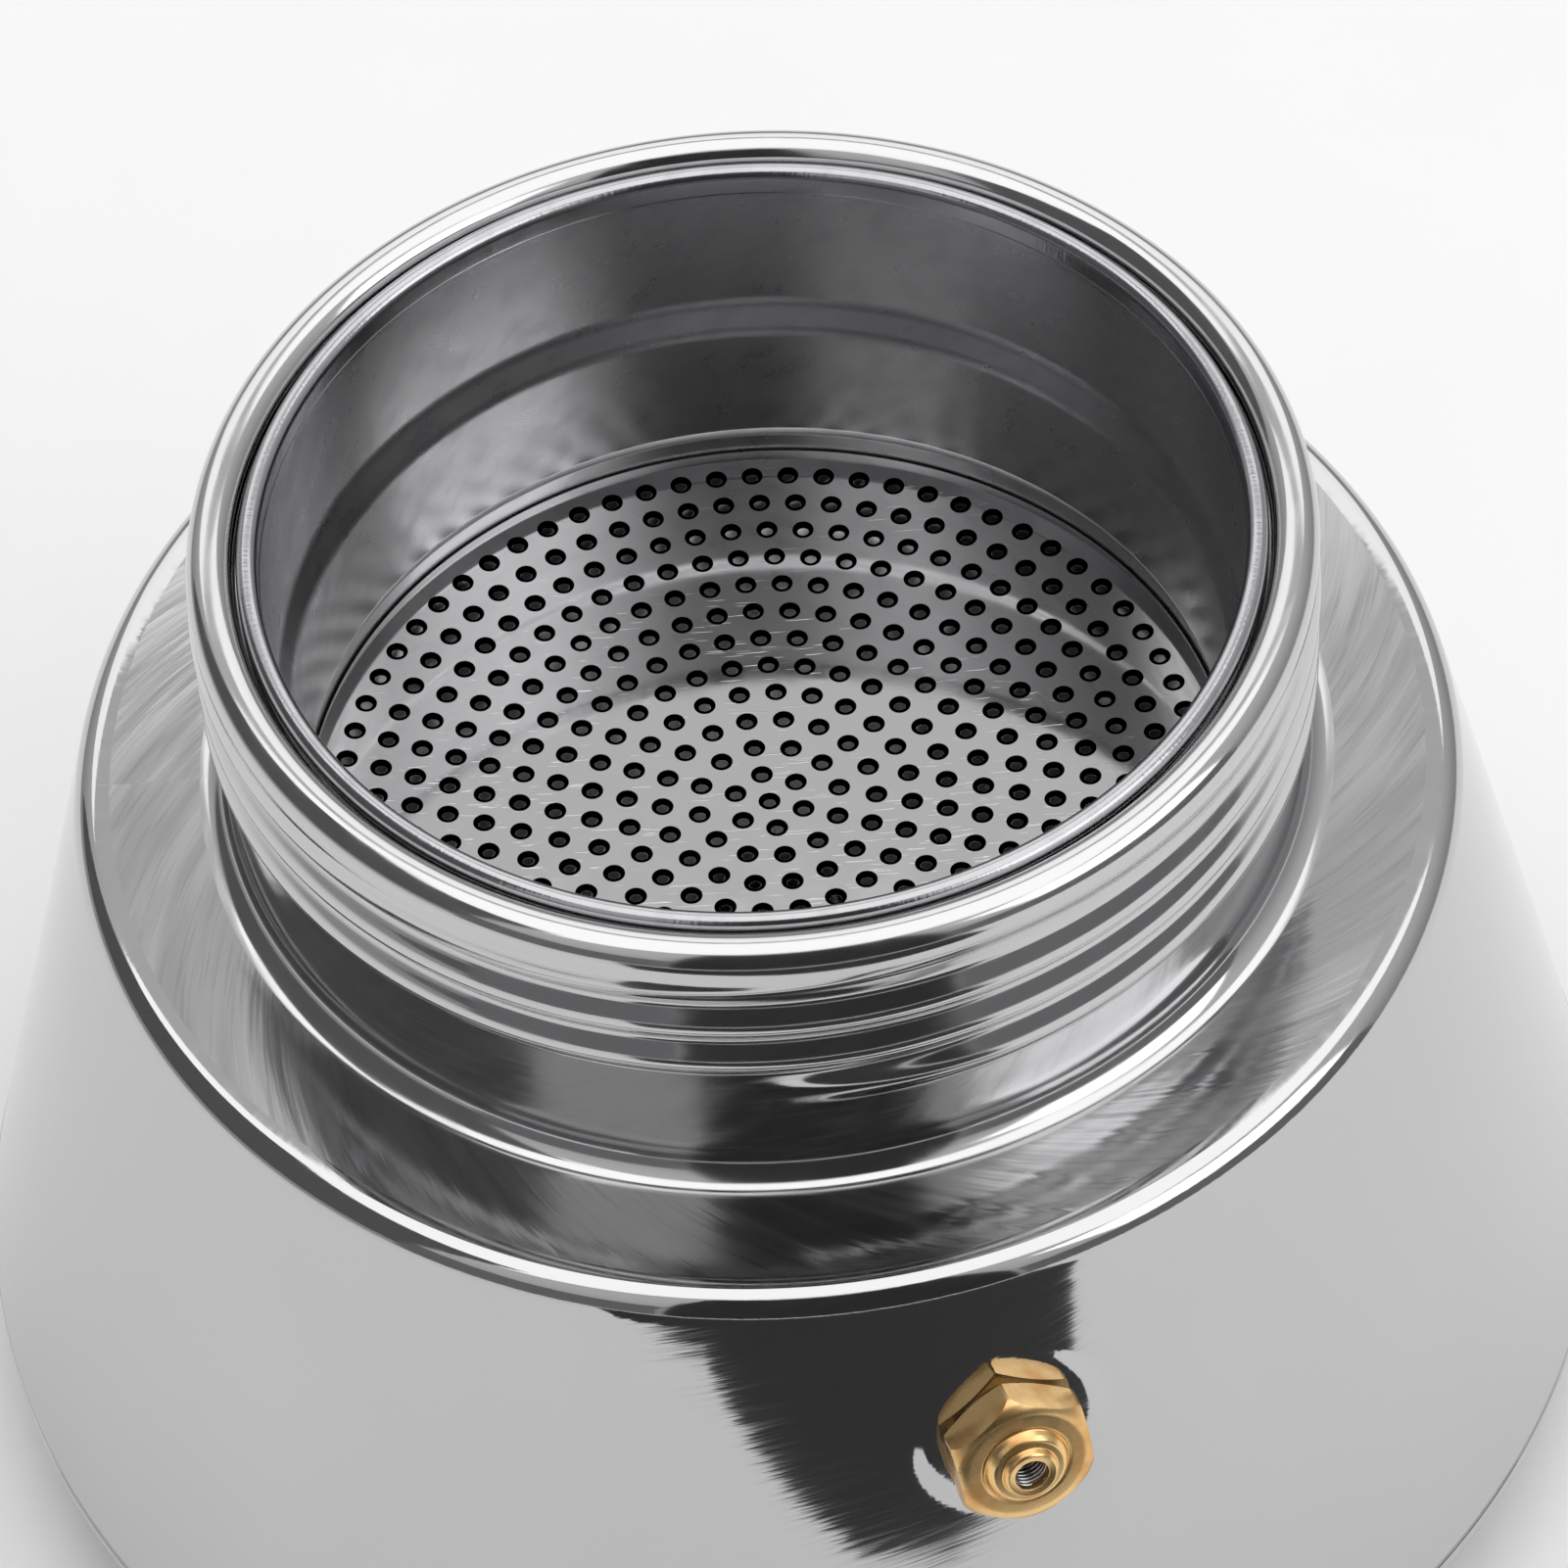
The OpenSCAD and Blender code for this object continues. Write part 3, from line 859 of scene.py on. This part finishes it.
def make_nut(looks):
    """The nut inside: 7 mm to its corners, coned off at both ends."""
    angles = np.arange(HEX_COLUMNS) * 360 / HEX_COLUMNS - HEX_TURN
    outline = NUT_CORNER_R * math.cos(math.radians(30)) / np.cos(np.radians((angles % 60) - 30))
    low, high, inner = NUT_LOW, INNER_WASHER_LOW, NUT_FACE_R
    rows = []
    for end, way, shares in ((low, 1, np.linspace(0, 1, 6)), (high, -1, np.linspace(1, 0, 6))):
        for share in shares:
            r = inner + (outline - inner) * share
            rows.append((r, end + way * 0.45 * (r - inner)))
    rows += round_rows([(4.35, high), (4.02, high - 0.3), (4.02, low + 0.3), (4.35, low)])
    return valve_piece("brass_nut", rows, looks["brass"])


def saddle(angles, radius, z_offset=0.0):
    """How far the leaning wall falls back behind its tangent plane, at points round the axis."""
    across = radius * np.sin(angles)
    curve = wall_r(VALVE_Z) / math.cos(WALL_LEAN)
    return -across ** 2 / (2 * curve) + z_offset


VALVE_Z = valve_frame().translation.z / MM


def make_washer(name, outer_r, low, high, soft, looks, wall_side):
    """A pale washer squeezed against the curved wall, bulging a little at its rim."""
    angles = 2 * math.pi * np.arange(HEX_COLUMNS) / HEX_COLUMNS
    rows = []
    for r, share in [(4.06, 0.1), (4.06, 0.9), (4.2, 1.0), (outer_r - soft, 1.0),
                     (outer_r - 0.1, 0.88), (outer_r, 0.5), (outer_r - 0.1, 0.12),
                     (outer_r - soft, 0.0), (4.2, 0.0)]:
        flat = np.full(HEX_COLUMNS, float(r))
        low_face = saddle(angles, flat, low) if wall_side == "low" else np.full(HEX_COLUMNS, low)
        high_face = saddle(angles, flat, high) if wall_side == "high" else np.full(HEX_COLUMNS, high)
        rows.append((flat, low_face + (high_face - low_face) * share))
    return valve_piece(name, rows[::-1], looks["silicone"])


def make_ball(looks):
    outline = arc(0, BALL_H, BALL_R, -90, 90, 32)
    outline[0], outline[-1] = (0, BALL_H - BALL_R), (0, BALL_H + BALL_R)
    ball = lathe("steel_ball", outline, 64, None)
    ball.matrix_world = valve_frame()
    ball.data.materials.append(looks["wire"])
    return ball


def make_spring(looks, turns=13, wire=0.17, coil=1.38, sides=10, steps=36):
    """The spring's wire swept along a helix whose coils close up towards its outer end."""
    low, high = BALL_H + 1.3, BORE_END - 0.2
    count = turns * steps
    points, faces = [], []
    for i in range(count + 1):
        share = i / count
        lift = low + (high - low) * share ** 0.62
        t = 2 * math.pi * turns * share
        for j in range(sides):
            s = 2 * math.pi * j / sides
            r = coil + wire * math.cos(s)
            points.append((r * math.cos(t) * MM, r * math.sin(t) * MM, (lift + wire * math.sin(s)) * MM))
    for i in range(count):
        for j in range(sides):
            n = (j + 1) % sides
            faces.append((i * sides + j, (i + 1) * sides + j, (i + 1) * sides + n, i * sides + n))
    faces.append(tuple(range(sides)))
    faces.append(tuple(count * sides + j for j in reversed(range(sides))))
    spring = new_object("steel_spring", points, faces, 60)
    spring.matrix_world = valve_frame()
    spring.data.materials.append(looks["wire"])
    return spring


# ---------------------------------------------------------------- stage
def pale_floor():
    material = bpy.data.materials.new("pale_floor")
    material.use_nodes = True
    tree = material.node_tree
    shader = tree.nodes["Principled BSDF"]
    shader.inputs["Roughness"].default_value = 0.9
    shader.inputs["Specular IOR Level"].default_value = 0.1
    grain = noise(tree, plain_place(tree, (40, 40, 40)), 1.0, 4.0)
    tint = blend_colour(tree, grain, (0.90, 0.90, 0.90), (0.93, 0.93, 0.93))
    finish_with(tree, shader, tint)
    return material


def make_floor():
    floor = new_object("floor", [(-STAGE_RADIUS, -STAGE_RADIUS, 0), (STAGE_RADIUS, -STAGE_RADIUS, 0),
                                 (STAGE_RADIUS, STAGE_RADIUS, 0), (-STAGE_RADIUS, STAGE_RADIUS, 0)],
                       [(0, 1, 2, 3)])
    floor.data.materials.append(pale_floor())


def studio_card(name, points, faces, grey):
    """A grey or black card: it shows only in reflections, as the dark side of a light tent."""
    card = new_object(name, points, faces)
    material = bpy.data.materials.new(name)
    material.use_nodes = True
    shader = material.node_tree.nodes["Principled BSDF"]
    shader.inputs["Base Color"].default_value = (grey, grey, grey * 1.03, 1)
    shader.inputs["Roughness"].default_value = 0.8
    card.data.materials.append(material)
    card.visible_camera = False
    card.visible_diffuse = False
    card.visible_shadow = False


def bent_card(name, azimuths, elevations, grey, radius=0.8, steps=12):
    """A card bent round the object between two azimuths and two elevations, in degrees."""
    points = []
    for i in range(steps + 1):
        for k in range(steps + 1):
            az = math.radians(azimuths[0] + (azimuths[1] - azimuths[0]) * i / steps)
            el = math.radians(elevations[0] + (elevations[1] - elevations[0]) * k / steps)
            points.append((radius * math.cos(el) * math.cos(az), radius * math.cos(el) * math.sin(az),
                           radius * math.sin(el)))
    side = steps + 1
    faces = [(i * side + k, i * side + k + 1, (i + 1) * side + k + 1, (i + 1) * side + k)
             for i in range(steps) for k in range(steps)]
    studio_card(name, points, faces, grey)


def make_cards():
    on_floor = [(-0.070, -0.168), (-0.035, -0.166), (0.010, -0.131), (0.030, -0.125),
                (0.073, -0.128), (0.100, -0.150), (0.400, -0.700), (-0.350, -0.700)]
    studio_card("card_on_floor", [(x, y, 0.0005) for x, y in on_floor], [tuple(range(len(on_floor)))], 0.03)
    bent_card("card_by_camera", (-108, -62), (2, 66), 0.03)
    bent_card("card_left", (142, 216), (12, 64), 0.13)
    bent_card("card_front_left", (-144, -109), (2, 32), 0.20)
    bent_card("card_front_right", (-61, -4), (2, 28), 0.20)


def area_light(name, place, target, size, power):
    light = bpy.data.lights.new(name, "AREA")
    light.shape = "RECTANGLE"
    light.size, light.size_y = size
    light.energy = power
    lamp = bpy.data.objects.new(name, light)
    bpy.context.scene.collection.objects.link(lamp)
    lamp.location = place
    aim = Vector(target) - Vector(place)
    lamp.rotation_mode = "QUATERNION"
    lamp.rotation_quaternion = aim.to_track_quat("-Z", "Y")


def make_lights():
    area_light("light_above", (0, 0.15, 1.3), (0, 0, 0), (1.6, 1.3), 6.5)
    area_light("light_right", (0.82, -0.37, 0.72), (0, 0, 0.08), (0.75, 0.7), 2.6)
    area_light("light_back", (0.0, 1.3, 0.9), (0, 0, 0.05), (1.8, 0.8), 4.0)


def make_world():
    """A soft tent: pale above, a little darker towards the horizon."""
    world = bpy.data.worlds.new("tent")
    bpy.context.scene.world = world
    world.use_nodes = True
    tree = world.node_tree
    way = add(tree, "ShaderNodeTexCoord").outputs["Generated"]
    height = add(tree, "ShaderNodeSeparateXYZ", {0: way}).outputs[2]
    share = remap(tree, height, 0.0, 0.9)
    tint = blend_colour(tree, share, (0.40, 0.40, 0.41), (0.72, 0.72, 0.72))
    background = tree.nodes["Background"]
    tree.links.new(tint, background.inputs["Color"])
    background.inputs["Strength"].default_value = 0.9


def make_camera():
    """Looks down at 47.4 degrees from 456 mm off the centre of the basket's rim."""
    elevation, distance = 0.8281324, 0.45643
    tilt, pan, roll = 0.0417707, -0.0025075, -0.0670271
    data = bpy.data.cameras.new("camera")
    data.sensor_width = 36
    data.lens = 142.9
    data.clip_start = 0.01
    camera = bpy.data.objects.new("camera", data)
    bpy.context.scene.collection.objects.link(camera)
    back = Vector((0, -math.cos(elevation), math.sin(elevation)))
    forward = -back
    right = Vector((1, 0, 0))
    rows = Matrix((right, forward.cross(right), forward))
    turn = Matrix.Rotation(roll, 3, "Z") @ Matrix.Rotation(pan, 3, "Y") @ Matrix.Rotation(tilt, 3, "X")
    rows = turn @ rows
    axes = Matrix((rows[0], -rows[1], -rows[2])).transposed().to_4x4()
    camera.matrix_world = Matrix.Translation(back * distance + Vector((0, 0, RIM_Z * MM))) @ axes
    bpy.context.scene.camera = camera


def place_piece(piece, body, slot, *nodes):
    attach(piece, body)
    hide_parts(*nodes)


def make_looks():
    return {
        "polished": polished_steel(), "turned": turned_steel(), "neck": neck_steel(),
        "inner": inner_steel(), "basket": basket_steel(), "plate": plate_steel(),
        "cap": cap_steel(), "aluminium": cast_aluminium(), "brass": brass(),
        "wire": spring_wire(), "silicone": pale_silicone(),
    }


def make_object():
    looks = make_looks()
    place_piece(make_shell(looks), "boiler", "boiler_steel", "boiler_shell")
    place_piece(make_floor_pan(looks), "boiler", "boiler_steel", "boiler_floor")
    place_piece(make_base_cap(looks), "boiler", "base_steel", "base_cap")
    place_piece(make_cup(looks), "funnel", "funnel_steel", "funnel_cup")
    place_piece(make_tube(looks), "funnel", "funnel_steel", "funnel_tube")
    place_piece(make_plate(looks), "funnel", "plate_steel", "filter_plate")
    place_piece(make_valve_body(looks), "boiler", "valve_brass", "valve_body")
    place_piece(make_valve_seat(looks), "boiler", "valve_brass", "valve_seat")
    place_piece(make_nut(looks), "boiler", "valve_brass", "valve_nut")
    outside = make_washer("pale_washer_outside", OUTER_WASHER_R, BOSS_H, WASHER_OUT, 0.2, looks, "flat")
    place_piece(outside, "boiler", "washer", "valve_outer_washer")
    inside = make_washer("pale_washer_inside", INNER_WASHER_R, INNER_WASHER_LOW, -SHEET, 0.3, looks, "high")
    place_piece(inside, "boiler", "washer", "valve_inner_washer")
    place_piece(make_ball(looks), "valve_poppet", "spring_steel", "valve_ball")
    spring = make_spring(looks)
    place_piece(spring, "boiler", "spring_steel", "valve_spring")
    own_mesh(spring)
    core = frame["nodes"]["base_core"]
    core.data.materials.clear()
    core.data.materials.append(looks["aluminium"])


make_object()
make_floor()
make_cards()
make_lights()
make_world()
make_camera()
bpy.context.scene.view_settings.view_transform = "Standard"
